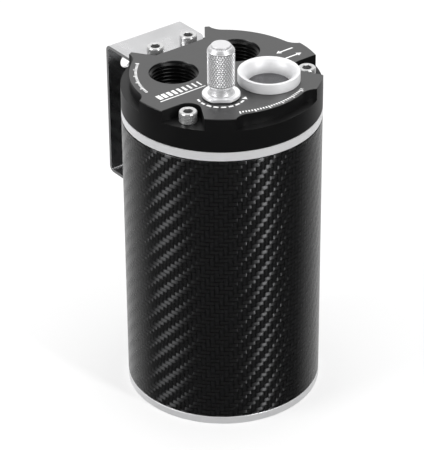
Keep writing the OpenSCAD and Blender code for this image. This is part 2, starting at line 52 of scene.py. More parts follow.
DIPSTICK_PLACE = (-14.7 * MM, -18.676 * MM)
# The direction of the photograph's camera, in degrees from +X
CAMERA_SIDE = -127.5

Piece = bpy.types.Object
Node = bpy.types.Node
Socket = bpy.types.NodeSocket
Sockets = dict[str, Socket]
Input = Union[float, Socket]
Color = tuple[float, float, float]
Place = tuple[float, float]
Outline = Sequence[Place]


class Axis(Enum):
    """The direction that a sheet's brush lines run in."""

    ALONG_X = "X"
    ALONG_Z = "Z"


def deselect() -> None:
    """Returns to object mode and clears the selection."""
    if bpy.context.object and bpy.context.object.mode != "OBJECT":
        bpy.ops.object.mode_set(mode="OBJECT")
    bpy.ops.object.select_all(action="DESELECT")


def activate(piece: Piece) -> None:
    """Makes a piece the only selected object and the active one."""
    deselect()
    piece.select_set(True)
    bpy.context.view_layer.objects.active = piece


@contextmanager
def editing(piece: Piece, choose: Optional[str] = "SELECT") -> Iterator[None]:
    """Holds a piece in edit mode for a block.

    Args:
        piece: The piece to edit.
        choose: What select_all does first. None keeps the selection.

    Yields:
        Nothing; the block works through bpy.ops.
    """
    activate(piece)
    bpy.ops.object.mode_set(mode="EDIT")
    if choose:
        bpy.ops.mesh.select_all(action=choose)
    yield
    bpy.ops.object.mode_set(mode="OBJECT")


def modify(piece: Piece, name: str, kind: str, **settings: object) -> None:
    """Adds a modifier to a piece and sets its properties."""
    modifier = piece.modifiers.new(name, kind)
    for key, value in settings.items():
        setattr(modifier, key, value)


def apply_modifiers(piece: Piece) -> None:
    """Applies every modifier of a piece, in order."""
    activate(piece)
    for modifier in list(piece.modifiers):
        bpy.ops.object.modifier_apply(modifier=modifier.name)


def settle(piece: Piece) -> None:
    """Moves a piece's place, turn and scale into its mesh."""
    activate(piece)
    bpy.ops.object.transform_apply(location=True, rotation=True, scale=True)


def join(pieces: Sequence[Piece], name: str) -> Piece:
    """Joins meshes into one piece, which gets the name."""
    deselect()
    for piece in pieces:
        piece.select_set(True)
    bpy.context.view_layer.objects.active = pieces[0]
    bpy.ops.object.join()
    joined = bpy.context.object
    joined.name = joined.data.name = name
    return joined


def smooth(piece: Piece, degrees: float = 30.0) -> None:
    """Shades a piece smooth, apart from edges sharper than an angle."""
    activate(piece)
    bpy.ops.object.shade_smooth_by_angle(angle=math.radians(degrees))


def close_mesh(piece: Piece, merge: float = 1e-7) -> None:
    """Merges doubled points and turns all faces outwards."""
    with editing(piece):
        bpy.ops.mesh.remove_doubles(threshold=merge)
        bpy.ops.mesh.normals_make_consistent(inside=False)


def add_object(name: str, data: bpy.types.ID) -> Piece:
    """Makes an object that holds some data and links it to the scene."""
    made = bpy.data.objects.new(name, data)
    bpy.context.scene.collection.objects.link(made)
    return made


def polar(radius: float, degrees: float, centre: Place = (0.0, 0.0)) -> Place:
    """Returns the point at a radius and an angle about a centre."""
    angle = math.radians(degrees)
    return centre[0] + radius * math.cos(angle), centre[1] + radius * math.sin(angle)


def lathe(name: str, outline: Outline, centre: Place, segments: int = 96) -> Piece:
    """Turns an outline about a vertical axis, ring by ring.

    Args:
        name: The name of the new piece.
        outline: Radius and height of each ring. A radius of zero closes that end with a pole; an outline that
            ends on its first ring closes on itself.
        centre: X and Y of the axis.
        segments: Points in a ring.

    Returns:
        The turned piece, with its place in its mesh.
    """
    looped = outline[0] == outline[-1] and outline[0][0] > 0
    start = next(i for i, ring in enumerate(outline) if ring[0] > 0)
    radius, height = outline[start]
    deselect()
    bpy.ops.mesh.primitive_circle_add(
        vertices=segments, radius=radius, location=(*centre, height), fill_type="NOTHING")
    piece = bpy.context.object
    piece.name = piece.data.name = name
    if start > 0:
        with editing(piece):
            bpy.ops.mesh.extrude_edges_move()
            bpy.ops.mesh.merge(type="CENTER")
        for vertex in piece.data.vertices:
            vertex.select = math.hypot(vertex.co.x, vertex.co.y) > radius / 2
    with editing(piece, None if start > 0 else "SELECT"):
        for next_radius, next_height in outline[start + 1:]:
            bpy.ops.mesh.extrude_edges_move()
            bpy.ops.transform.translate(value=(0, 0, next_height - height))
            if next_radius <= 0:
                bpy.ops.mesh.merge(type="CENTER")
                break
            bpy.ops.transform.resize(value=(next_radius / radius, next_radius / radius, 1),
                                     center_override=(*centre, next_height))
            radius, height = next_radius, next_height
    settle(piece)
    close_mesh(piece, 1e-6 if looped else 1e-7)
    return piece


def softened(node: str, width: float, degrees: float = 35.0) -> Piece:
    """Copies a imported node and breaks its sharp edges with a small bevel.

    Args:
        node: The node to copy. The copy replaces it.
        width: The bevel's width.
        degrees: Edges sharper than this are bevelled.

    Returns:
        The new piece.
    """
    piece = add_object(f"{node}_finished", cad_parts[node].data.copy())
    piece.data.name = piece.name
    activate(piece)
    if piece.data.has_custom_normals:
        bpy.ops.mesh.customdata_custom_splitnormals_clear()
    with editing(piece):
        bpy.ops.mesh.remove_doubles(threshold=1e-6)
        bpy.ops.mesh.dissolve_limited(angle_limit=math.radians(0.5))
        bpy.ops.mesh.normals_make_consistent(inside=False)
    bpy.ops.object.shade_smooth()
    modify(piece, "edge_break", "BEVEL", width=width, segments=2, limit_method="ANGLE",
           angle_limit=math.radians(degrees), harden_normals=True)
    apply_modifiers(piece)
    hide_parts(node)
    return piece


def blank_tree(owner: Union[bpy.types.Material, bpy.types.World]) -> bpy.types.NodeTree:
    """Empties the node tree of a material or a world and returns it."""
    owner.use_nodes = True
    owner.node_tree.nodes.clear()
    return owner.node_tree


class Wiring:
    """Short calls for making and linking the nodes of one tree."""

    def __init__(self, tree: bpy.types.NodeTree) -> None:
        """Takes the tree that all calls work in."""
        self.tree = tree

    def node(self, kind: str, *values: Input, **settings: object) -> Node:
        """Adds a node, sets its properties and feeds its first inputs in order."""
        made = self.tree.nodes.new(kind)
        for key, value in settings.items():
            setattr(made, key, value)
        for socket, value in zip(made.inputs, values):
            self.feed(socket, value)
        return made

    def feed(self, socket: Socket, value: Input) -> None:
        """Links a socket to an output, or sets it to a plain value."""
        if isinstance(value, bpy.types.NodeSocket):
            self.tree.links.new(value, socket)
        else:
            socket.default_value = value

    def feeds(self, node: Node, values: dict[str, Input]) -> None:
        """Feeds a node's inputs by name."""
        for name, value in values.items():
            self.feed(node.inputs[name], value)

    def show(self, kind: str, surface: Socket) -> None:
        """Adds the tree's output node and feeds its surface."""
        self.feeds(self.node(kind), {"Surface": surface})

    def math(self, operation: str, *values: Input) -> Socket:
        """Adds a Math node and returns its result."""
        return self.node("ShaderNodeMath", *values, operation=operation).outputs[0]

    def times(self, first: Input, second: Input) -> Socket:
        """Multiplies two numbers."""
        return self.math("MULTIPLY", first, second)

    def blend(self, factor: Input, low: Input, high: Input) -> Socket:
        """Mixes two numbers by a factor."""
        made = self.node("ShaderNodeMix", factor, data_type="FLOAT")
        self.feed(made.inputs[2], low)
        self.feed(made.inputs[3], high)
        return made.outputs[0]

    def mix(self, factor: Input, first: Socket, second: Socket) -> Socket:
        """Mixes two shaders by a factor."""
        return self.node("ShaderNodeMixShader", factor, first, second).outputs[0]

    def tint(self, factor: Input, low: Sequence[float], high: Sequence[float]) -> Socket:
        """Mixes two colours by a factor."""
        made = self.node("ShaderNodeMix", factor, data_type="RGBA")
        made.inputs[6].default_value = (*low, 1.0)
        made.inputs[7].default_value = (*high, 1.0)
        return made.outputs[2]

    def dim(self, color: Socket, factor: Input) -> Socket:
        """Multiplies a colour by a number."""
        made = self.node("ShaderNodeMix", 1.0, data_type="RGBA", blend_type="MULTIPLY")
        self.feed(made.inputs[6], color)
        self.feed(made.inputs[7], self.node("ShaderNodeCombineColor", factor, factor, factor).outputs[0])
        return made.outputs[2]

    def ramp(self, value: Input, low: float, high: float, to_low: float = 0.0,
             to_high: float = 1.0) -> Socket:
        """Maps a range of a number onto another range, held at its ends."""
        return self.node("ShaderNodeMapRange", value, low, high, to_low, to_high).outputs[0]

    def place(self) -> Socket:
        """Returns the Object coordinates."""
        return self.node("ShaderNodeTexCoord").outputs["Object"]

    def split(self, vector: Socket) -> list[Socket]:
        """Splits a vector into X, Y and Z."""
        return list(self.node("ShaderNodeSeparateXYZ", vector).outputs)

    def vector(self, x: Input, y: Input, z: Input) -> Socket:
        """Combines X, Y and Z into a vector."""
        return self.node("ShaderNodeCombineXYZ", x, y, z).outputs[0]

    def noise(self, vector: Socket, scale: Input = 1.0, detail: float = 3.0,
              roughness: float = 0.6) -> Socket:
        """Adds a noise texture and returns its value."""
        made = self.node("ShaderNodeTexNoise")
        self.feeds(made, {"Vector": vector, "Scale": scale, "Detail": detail, "Roughness": roughness})
        return made.outputs[0]


class MaterialWiring(Wiring):
    """The wiring of a new material, with its shader at hand."""

    def __init__(self, name: str) -> None:
        """Makes the material with a shader and an output."""
        self.material = bpy.data.materials.new(name)
        super().__init__(blank_tree(self.material))
        self.shader = self.node("ShaderNodeBsdfPrincipled")
        self.show("ShaderNodeOutputMaterial", self.shader.outputs[0])

    def shade(self, values: dict[str, Input]) -> None:
        """Feeds the shader's inputs by name."""
        self.feeds(self.shader, values)

    def bump(self, height: Input, depth: float) -> None:
        """Feeds a height from 0 to 1 to the shader's normal, where a height of 1 stands for the depth."""
        bump = self.node("ShaderNodeBump")
        self.feeds(bump, {"Strength": 1.0, "Distance": depth, "Height": height})
        self.shade({"Normal": bump.outputs[0]})


class SharedEffect:
    """A shader node group with named inputs and outputs, built once and placed in many materials."""

    name = "effect"
    inputs: dict[str, float] = {}
    outputs: Sequence[str] = ()

    def group(self) -> bpy.types.NodeTree:
        """Returns the group, building it on first use."""
        found = bpy.data.node_groups.get(self.name)
        if found:
            return found
        tree = bpy.data.node_groups.new(self.name, "ShaderNodeTree")
        for label, default in self.inputs.items():
            socket = tree.interface.new_socket(label, in_out="INPUT", socket_type="NodeSocketFloat")
            socket.default_value = default
        for label in self.outputs:
            tree.interface.new_socket(label, in_out="OUTPUT", socket_type="NodeSocketFloat")
        wiring = Wiring(tree)
        given = wiring.node("NodeGroupInput").outputs
        wiring.feeds(wiring.node("NodeGroupOutput"),
                     self.build(wiring, {label: given[label] for label in self.inputs}))
        return tree

    def build(self, wiring: Wiring, given: Sockets) -> Sockets:
        """Wires the effect's nodes.

        Args:
            wiring: The group's own tree.
            given: The group's inputs by name.

        Returns:
            The group's outputs by name.
        """
        raise NotImplementedError

    def use(self, wiring: Wiring, values: Optional[dict[str, Input]] = None) -> Sockets:
        """Places the group in a material.

        Args:
            wiring: The material's tree.
            values: Inputs by name. The others keep their defaults.

        Returns:
            The placed group's outputs by name.
        """
        placed = wiring.node("ShaderNodeGroup", node_tree=self.group())
        wiring.feeds(placed, values or {})
        return {label: placed.outputs[label] for label in self.outputs}


class TurnedLines(SharedEffect):
    """Fine rings that a lathe tool leaves round a vertical axis."""

    name = "turned_lines"
    inputs = {"Axis X": 0.0, "Axis Y": 0.0, "Lines": 9000.0}
    outputs = ("Height", "Shade", "Wear", "Radius", "Rise")
    drift_round = 1.5

    def build(self, wiring: Wiring, given: Sockets) -> Sockets:
        """Noise that changes with radius and height, and barely round the axis."""
        x, y, z = wiring.split(wiring.place())
        dx = wiring.math("SUBTRACT", x, given["Axis X"])
        dy = wiring.math("SUBTRACT", y, given["Axis Y"])
        radius = wiring.math("SQRT", wiring.math("ADD", wiring.times(dx, dx), wiring.times(dy, dy)))
        lines = wiring.noise(wiring.vector(
            wiring.times(radius, given["Lines"]), wiring.times(z, given["Lines"]),
            wiring.times(wiring.math("ARCTAN2", dy, dx), self.drift_round)))
        shade = wiring.ramp(lines, 0.3, 0.7)
        return {"Height": lines, "Shade": shade, "Wear": shade, "Radius": radius, "Rise": z}


class BrushedLines(SharedEffect):
    """Long parallel scratches of a brushed sheet."""

    name = "brushed_lines"
    inputs = {"Along X": 1.0, "Fineness": 7000.0}
    outputs = ("Height", "Shade", "Wear")
    stretch = 0.012
    patch_scale = 90.0
    patch_share = 0.4

    def build(self, wiring: Wiring, given: Sockets) -> Sockets:
        """Noise that is stretched along X or along Z."""
        x, y, z = wiring.split(wiring.place())
        along_x, fine = given["Along X"], given["Fineness"]
        slow = wiring.times(fine, self.stretch)
        stretched = wiring.vector(wiring.times(x, wiring.blend(along_x, fine, slow)), wiring.times(y, fine),
                                  wiring.times(z, wiring.blend(along_x, slow, fine)))
        lines = wiring.noise(stretched, detail=4.0, roughness=0.65)
        patches = wiring.ramp(wiring.noise(wiring.place(), self.patch_scale), 0.35, 0.65)
        shade = wiring.blend(self.patch_share, wiring.ramp(lines, 0.3, 0.7), patches)
        return {"Height": lines, "Shade": shade, "Wear": patches}


class FineGrain(SharedEffect):
    """The even grain of an anodised or moulded surface, with faint cloudy patches."""

    name = "fine_grain"
    inputs = {"Grain": 6000.0, "Cloud": 60.0}
    outputs = ("Height", "Shade", "Wear")

    def build(self, wiring: Wiring, given: Sockets) -> Sockets:
        """One fine noise and one broad noise on the object's own coordinates."""
        place = wiring.place()
        grain = wiring.noise(place, given["Grain"], detail=2.0, roughness=0.5)
        clouds = wiring.ramp(wiring.noise(place, given["Cloud"], roughness=0.55), 0.35, 0.65)
        return {"Height": grain, "Shade": clouds, "Wear": clouds}


class TwillWeave(SharedEffect):
    """A 2x2 twill wrapped round a vertical cylinder: floats two tows long that step up to the right."""

    name = "twill_weave"
    inputs = {"Tows Round": 136.0, "Tow": 0.0021}
    outputs = ("Weft", "Height", "Fibre", "Crown", "Rise")
    repeat = 4.0
    fibres_across = 14.0
    fibres_along = 0.8

    def build(self, wiring: Wiring, given: Sockets) -> Sockets:
        """Finds the tow on top, the place along and across its float, and the float's height."""
        x, y, z = wiring.split(wiring.place())
        turn = wiring.math("ADD", wiring.math("DIVIDE", wiring.math("ARCTAN2", y, x), FULL_TURN), 0.5)
        u = wiring.times(turn, given["Tows Round"])
        v = wiring.math("ADD", wiring.math("DIVIDE", z, given["Tow"]), 0.5)
        column, row = wiring.math("FLOOR", u), wiring.math("FLOOR", v)
        weft = wiring.math("LESS_THAN", self.step(wiring, column, row), 1.5)
        along_weft = self.step(wiring, u, row)
        along_warp = self.step(wiring, wiring.math("SUBTRACT", v, column), 1.0)
        along = wiring.times(wiring.blend(weft, along_warp, along_weft), 0.5)
        across = wiring.blend(weft, wiring.math("FRACT", u), wiring.math("FRACT", v))
        rise = self.arch(wiring, along, 4.0)
        crown = self.arch(wiring, across, 2.0)
        height = wiring.times(rise, wiring.blend(crown, 0.7, 1.0))
        fine, slow = self.fibres_across, self.fibres_along
        fibre_place = wiring.vector(wiring.blend(weft, wiring.times(u, fine), wiring.times(u, slow)),
                                    wiring.blend(weft, wiring.times(v, slow), wiring.times(v, fine)), 0.0)
        fibre = wiring.noise(fibre_place)
        return {"Weft": weft, "Height": height, "Fibre": fibre, "Crown": crown, "Rise": rise}

    def step(self, wiring: Wiring, ahead: Input, behind: Input) -> Socket:
        """Returns how far one place is ahead of another within a repeat of the weave."""
        return wiring.math("FLOORED_MODULO", wiring.math("SUBTRACT", ahead, behind), self.repeat)

    @staticmethod
    def arch(wiring: Wiring, place: Socket, flatness: float) -> Socket:
        """Turns a place from 0 to 1 into an arch that is 1 in the middle and flatter for a higher power."""
        centred = wiring.math("ABSOLUTE", wiring.math("SUBTRACT", wiring.times(place, 2.0), 1.0))
        fall = wiring.math("POWER", centred, flatness)
        return wiring.math("MAXIMUM", wiring.math("SUBTRACT", 1.0, fall), 0.0)


TURNED, BRUSHED, GRAIN, TWILL = TurnedLines(), BrushedLines(), FineGrain(), TwillWeave()


@dataclass(frozen=True)
class Finish:
    """A material's plain values, and the making of its shader.

    The depth is what the texture's full height stands for, the spread how far its shade changes the base
    colour, and smoother and rougher how far its wear changes the roughness.
    """

    name: str
    color: Color
    roughness: float = 0.4
    metallic: float = 1.0
    ior: float = 1.5
    coat: float = 0.0
    coat_roughness: float = 0.1
    coat_ior: float = 1.5
    anisotropy: float = 0.0
    anisotropy_turn: float = 0.0
    edge_tint: float = 1.0
    depth: float = 0.004 * MM
    spread: float = 0.0
    smoother: float = 0.03
    rougher: float = 0.03

    def material(self) -> bpy.types.Material:
        """Returns the material, building it on first use."""
        name = f"{self.name}_finish"
        found = bpy.data.materials.get(name)
        if found:
            return found
        wiring = MaterialWiring(name)
        wiring.shade({
            "Base Color": (*self.color, 1.0), "Roughness": self.roughness, "Metallic": self.metallic,
            "IOR": self.ior, "Coat Weight": self.coat, "Coat Roughness": self.coat_roughness,
            "Coat IOR": self.coat_ior, "Anisotropic": self.anisotropy,
            "Anisotropic Rotation": self.anisotropy_turn, "Specular Tint": (*[self.edge_tint] * 3, 1.0)})
        self.dress(wiring)
        return wiring.material

    def dress(self, wiring: MaterialWiring) -> None:
        """Feeds the texture to the normal, the base colour and the roughness."""
        texture = self.texture(wiring)
        wiring.bump(texture["Height"], self.depth)
        wiring.shade({"Base Color": self.tone(wiring, texture), "Roughness": wiring.blend(
            texture["Wear"], self.roughness - self.smoother, self.roughness + self.rougher)})

    def texture(self, wiring: Wiring) -> dict[str, Input]:
        """Returns the height, the shade and the wear of the surface: fine grain on the plain finish."""
        return GRAIN.use(wiring)

    def tone(self, wiring: MaterialWiring, texture: dict[str, Input]) -> Socket:
        """Returns the base colour, darker and lighter with the texture's shade."""
        low = [channel * (1 - self.spread) for channel in self.color]
        high = [min(channel * (1 + self.spread), 1.0) for channel in self.color]
        return wiring.tint(texture["Shade"], low, high)


@dataclass(frozen=True)
class Anodised(Finish):
    """Milled and dyed aluminium, satin, with an even grain."""

    depth: float = 0.010 * MM
    spread: float = 0.06

    def texture(self, wiring: Wiring) -> Sockets:
        """Returns a coarser grain with broader clouds."""
        return GRAIN.use(wiring, {"Grain": 5200.0, "Cloud": 45.0})


@dataclass(frozen=True)
class MilledLid(Anodised):
    """The lid's anodising, with more sheen on the finely milled top than down its sides."""

    top: float = LID_TOP - 0.3 * MM

    def dress(self, wiring: MaterialWiring) -> None:
        """Adds a coat on the top alone."""
        super().dress(wiring)
        height = wiring.split(wiring.place())[2]
        wiring.shade({"Coat Weight": wiring.math("GREATER_THAN", height, self.top)})


@dataclass(frozen=True)
class Turned(Finish):
    """Metal with the rings of a lathe tool round one axis."""

    axis: Place = (0.0, 0.0)
    lines: float = 9000.0
    spread: float = 0.04
    rougher: float = 0.05

    def texture(self, wiring: Wiring) -> Sockets:
        """Returns rings about the axis, with their radius and height."""
        return TURNED.use(wiring, {"Axis X": self.axis[0], "Axis Y": self.axis[1], "Lines": self.lines})


@dataclass(frozen=True)
class WaistShadedCan(Turned):
    """The can's turned metal, with nearly black painted shade on the waist under the sleeve, so that the
    sleeve's upper end reads as a shadow line.
    """

    waist_shade_low_r: float = 44.5 * MM
    waist_shade_high_r: float = 45.4 * MM
    waist_painted_shade: float = 0.03

    def tone(self, wiring: MaterialWiring, texture: Sockets) -> Socket:
        """Returns the turned base colour, with nearly black painted shade on the waist under the sleeve."""
        # Painted shade: the waist between these radii is darkened to stand in for the shadow under the top
        # rim.
        in_waist_shade = wiring.times(wiring.math("GREATER_THAN", texture["Radius"], self.waist_shade_low_r),
                              wiring.math("LESS_THAN", texture["Radius"], self.waist_shade_high_r))
        return wiring.dim(super().tone(wiring, texture), wiring.blend(in_waist_shade, 1.0, self.waist_painted_shade))


@dataclass(frozen=True)
class SocketSteel(Turned):
    """The bright steel of a screw, with painted shade darkening the inside of its socket."""

    socket_r: float = 2.4 * MM
    socket_top: float = 0.0
    socket_painted_shade: float = 0.45

    def tone(self, wiring: MaterialWiring, texture: Sockets) -> Socket:
        """Returns the turned base colour, with painted shade within the socket."""
        # Painted shade: the socket's inside is darkened to stand in for the shadow down the hex recess.
        socket_shade_mask = wiring.times(wiring.math("LESS_THAN", texture["Radius"], self.socket_r),
                            wiring.math("LESS_THAN", texture["Rise"], self.socket_top))
        return wiring.dim(super().tone(wiring, texture), wiring.blend(socket_shade_mask, 1.0, self.socket_painted_shade))


@dataclass(frozen=True)
class Knurled(Turned):
    """Turned metal with a diamond knurl, with painted shade down in its grooves and painted light on its
    crests.
    """

    core_r: float = 5.9 * MM
    depth_r: float = 0.3 * MM
    groove_painted_shade: float = 0.7
    crest_painted_light: float = 1.38

    def tone(self, wiring: MaterialWiring, texture: Sockets) -> Socket:
        """Returns the turned base colour, with painted shade at the bottom of the grooves and painted light
        on the crests.
        """
        # Painted shade and light: the colour is dimmed towards the groove bottoms and raised on the crests,
        # standing in for the knurl's own shading.
        rise = wiring.ramp(texture["Radius"], self.core_r, self.core_r + self.depth_r,
                           self.groove_painted_shade, self.crest_painted_light)
        inside = wiring.math("LESS_THAN", texture["Radius"], self.core_r - 0.05 * MM)
        return wiring.dim(super().tone(wiring, texture), wiring.math("MAXIMUM", rise, inside))


@dataclass(frozen=True)
class Brushed(Finish):
    """Sheet metal brushed in one direction."""

    along: Axis = Axis.ALONG_X
    depth: float = 0.005 * MM
    spread: float = 0.07
    rougher: float = 0.06

    def texture(self, wiring: Wiring) -> Sockets:
        """Returns scratches along the sheet, with patches of wear."""
        return BRUSHED.use(wiring, {"Along X": 1.0 if self.along is Axis.ALONG_X else 0.0})


@dataclass(frozen=True)
class CutSheet(Brushed):
    """Brushed sheet whose two cut sides, square to the X axis, are darker and more matt."""

    half_width: float = 20.75 * MM
    cut_shade: float = 0.42
    cut_metallic: float = 0.7

    def tone(self, wiring: MaterialWiring, texture: Sockets) -> Socket:
        """Returns the brushed base colour, dimmed on the cut sides, which are less metallic too."""
        side = wiring.math("ABSOLUTE", wiring.split(wiring.place())[0])
        cut = wiring.math("GREATER_THAN", side, self.half_width - 0.1 * MM)
        wiring.shade({"Metallic": wiring.blend(cut, self.metallic, self.cut_metallic)})
        return wiring.dim(super().tone(wiring, texture), wiring.blend(cut, 1.0, self.cut_shade))


@dataclass(frozen=True)
class CarbonLaminate(Finish):
    """Black twill carbon under a clear lacquer."""

    shaded_warp_color: Color = (0.008, 0.008, 0.0083)
    depth: float = 0.15 * MM
    tow_gap_painted_shade: float = 0.2

    def dress(self, wiring: MaterialWiring) -> None:
        """Weft floats over warp tows whose colour is painted darker, as painted shade for the light the
        upright fibres miss, with painted shade between tows and at float ends, and each float's crimp in the
        height.
        """
        weave = TWILL.use(wiring)
        fibre = wiring.ramp(weave["Fibre"], 0.3, 0.7, 0.8, 1.15)
        # Painted shade: the colour is dimmed at the sides and ends of each float, where the tows dip under
        # each other.
        gap = wiring.times(wiring.ramp(weave["Crown"], 0.05, 0.7, self.tow_gap_painted_shade),
                           wiring.ramp(weave["Rise"], 0.0, 0.45, self.tow_gap_painted_shade))
        # Painted shade: the warp tows get a darker colour and no metal, standing in for how little light the
        # upright fibres catch.
        tows = wiring.tint(weave["Weft"], self.shaded_warp_color, self.color)
        wiring.shade({"Base Color": wiring.dim(tows, wiring.times(fibre, gap)),
                      "Metallic": wiring.blend(weave["Weft"], 0.0, self.metallic)})
        wiring.bump(weave["Height"], self.depth)


@dataclass(frozen=True)
class WovenWire(Finish):
    """A fine plain weave of wire, flat in the XY plane."""

    pitch: float = 0.5 * MM
    depth: float = 0.08 * MM
    spread: float = 0.5

    def texture(self, wiring: Wiring) -> dict[str, Input]:
        """Returns wires that pass over and under each other, with painted shade where they leave holes."""
        waves = [wiring.math("SINE", wiring.times(way, FULL_TURN / self.pitch))
                 for way in wiring.split(wiring.place())[:2]]
        over = wiring.math("MAXIMUM", *[wiring.math("ABSOLUTE", wave) for wave in waves])
        # Painted shade: the colour darkens where the wires leave holes, standing in for the shaded inside
        # seen through them.
        return {"Height": over, "Shade": wiring.ramp(over, 0.35, 0.9), "Wear": 0.5}


@dataclass(frozen=True)
class KnittedWire(Finish):
    """A pad of knitted wire wool."""

    depth: float = 0.6 * MM
    spread: float = 0.5

    def texture(self, wiring: Wiring) -> dict[str, Input]:
        """Returns tangled strands from a fine noise."""
        tangle = wiring.noise(wiring.place(), 900.0, detail=6.0, roughness=0.7)
        return {"Height": tangle, "Shade": wiring.ramp(tangle, 0.4, 0.6), "Wear": 0.5}


CAN_ALUMINIUM = WaistShadedCan("can_aluminium", (0.84, 0.84, 0.85), roughness=0.44, metallic=0.55, lines=5200.0)
CARBON = CarbonLaminate("carbon_laminate", (0.135, 0.136, 0.139), roughness=0.36, metallic=0.96,
                        edge_tint=0.05, coat=1.0, coat_roughness=0.25, coat_ior=1.65, anisotropy=1.0,
                        anisotropy_turn=0.25)
LID_BLACK = MilledLid("lid_black_anodised", (0.004, 0.004, 0.0042), roughness=0.38, metallic=0.0, ior=1.42,
                      coat_roughness=0.32, coat_ior=1.54)
THREAD_BLACK = Anodised("port_thread_anodised", (0.003, 0.003, 0.003), roughness=0.16, metallic=0.0)
RUBBER = Finish("seal_rubber", (0.02, 0.02, 0.02), roughness=0.6, metallic=0.0, smoother=0.06, rougher=0.06)
BRACKET_STEEL = CutSheet("bracket_stainless", (0.81, 0.81, 0.82), roughness=0.22)
# Painted shade: the plates' colour is set darker than bare aluminium, standing in for the shade inside the
# can.
SHADED_PLATE = Brushed("plate_aluminium", (0.5, 0.5, 0.5))
PRINT = Finish("lid_print", (0.85, 0.85, 0.85), roughness=0.5, metallic=0.0, smoother=0.05, rougher=0.05)
MESH_WIRE = WovenWire("mesh_wire", (0.13, 0.13, 0.135), roughness=0.45)
PAD_WIRE = KnittedWire("pad_wire", (0.55, 0.55, 0.55))
HIDDEN_STEEL = Turned("bolt_steel", (0.74, 0.74, 0.74), roughness=0.28, lines=6500.0)
ROD_STEEL = Turned("rod_steel", (0.7, 0.7, 0.7), roughness=0.3, axis=DIPSTICK_PLACE, lines=8000.0)


def dress_nodes(finish: Finish, *nodes: str) -> None:
    """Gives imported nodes' objects a finish."""
    for node in nodes:
        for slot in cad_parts[node].material_slots:
            slot.material = finish.material()
        LOG.info("dressed node %s in %s", node, finish.name)


def seat(piece: Piece, body: str, finish: Finish) -> None:
    """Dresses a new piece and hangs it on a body."""
    piece.data.materials.clear()
    piece.data.materials.append(finish.material())
    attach(piece, body)
    LOG.info("made piece %s on %s", piece.name, body)


@dataclass
class Can:
    """The can: its turned body, its sleeve and what stands inside it."""

    sleeve_r: float = 46.0 * MM
    sleeve_inner_r: float = 44.8 * MM
    sleeve_low: float = 4.0 * MM
    sleeve_high: float = 141.25 * MM
    edge: float = 0.12 * MM
    segments: int = 256

    def build(self) -> None:
        """Makes the sleeve and dresses the body, the separator and the drain's seal."""
        sleeve = lathe("carbon_sleeve_finished", self.sleeve_outline(), (0.0, 0.0), self.segments)
        smooth(sleeve)
        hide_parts("carbon_sleeve")
        seat(sleeve, "root", CARBON)
        dress_nodes(CAN_ALUMINIUM, "can_body")
        dress_nodes(SHADED_PLATE, "sieve_upper", "sieve_lower", "spacer_back", "spacer_left", "spacer_right")
        dress_nodes(PAD_WIRE, "mesh_pad")
        dress_nodes(RUBBER, "lid_seal", "drain_seal")

    def sleeve_outline(self) -> Outline:
        """Returns the sleeve's section, with a small break on its outer edges."""
        return [
            (self.sleeve_inner_r, self.sleeve_low),
            (self.sleeve_r - self.edge, self.sleeve_low),
            (self.sleeve_r, self.sleeve_low + self.edge),
            (self.sleeve_r, self.sleeve_high - self.edge),
            (self.sleeve_r - self.edge, self.sleeve_high),
            (self.sleeve_inner_r, self.sleeve_high),
            (self.sleeve_inner_r, self.sleeve_low),
        ]


@dataclass
class Lid:
    """The milled lid, the thread ridges in its ports and its printed marks."""

    port_x: float = 17.71 * MM
    port_y: float = 12.604 * MM
    port_r: float = 11.1 * MM
    minor_r: float = 10.15 * MM
    pitch: float = INCH / 14
    root_share: float = 0.46
    crest_share: float = 0.07
    thread_low: float = 147.25 * MM
    thread_high: float = 161.8 * MM
    thread_start: float = CAMERA_SIDE
    thread_sink: float = 0.02 * MM
    edge_break: float = 0.22 * MM

    def build(self) -> None:
        """Makes the lid, both threads and the marks."""
        lid = softened("lid", self.edge_break)
        seat(lid, "root", LID_BLACK)
        for side, name in ((-1, "port_thread_left"), (1, "port_thread_right")):
            thread = self.thread(name, (side * self.port_x, self.port_y))
            seat(thread, "root", THREAD_BLACK)
        seat(Marks().build(), "root", PRINT)

    def thread(self, name: str, centre: Place) -> Piece:
        """Winds one thread ridge up a port's wall.

        Args:
            name: The name of the new piece.
            centre: X and Y of the port.

        Returns:
            The ridge, closed at both ends.
        """
        depth = self.port_r - self.minor_r
        deselect()
        bpy.ops.mesh.primitive_plane_add(size=1.0, location=(0, 0, 0), rotation=(math.pi / 2, 0, 0))
        ridge = bpy.context.object
        ridge.name = name
        ridge.scale = (depth, 2 * self.pitch * self.root_share, 1.0)
        settle(ridge)
        for vertex in ridge.data.vertices:
            vertex.select = vertex.co.x < 0
        for edge in ridge.data.edges:
            edge.select = all(ridge.data.vertices[i].select for i in edge.vertices)
        for face in ridge.data.polygons:
            face.select = False
        with editing(ridge, None):
            bpy.ops.transform.resize(value=(1, 1, self.crest_share / self.root_share))
            bpy.ops.mesh.select_all(action="SELECT")
            bpy.ops.transform.translate(value=(self.port_r + self.thread_sink - depth / 2, 0, 0))
            bpy.ops.mesh.delete(type="ONLY_FACE")
        modify(ridge, "winding", "SCREW", angle=FULL_TURN, screw_offset=self.pitch,
               iterations=int((self.thread_high - self.thread_low) / self.pitch),
               steps=64, render_steps=64, use_merge_vertices=False)
        apply_modifiers(ridge)
        ridge.location = (*centre, self.thread_low)
        ridge.rotation_euler[2] = math.radians(self.thread_start)
        settle(ridge)
        with editing(ridge, "DESELECT"):
            bpy.ops.mesh.select_non_manifold(extend=False)
            bpy.ops.mesh.fill_holes(sides=4)
        close_mesh(ridge)
        smooth(ridge, 40.0)
        return ridge


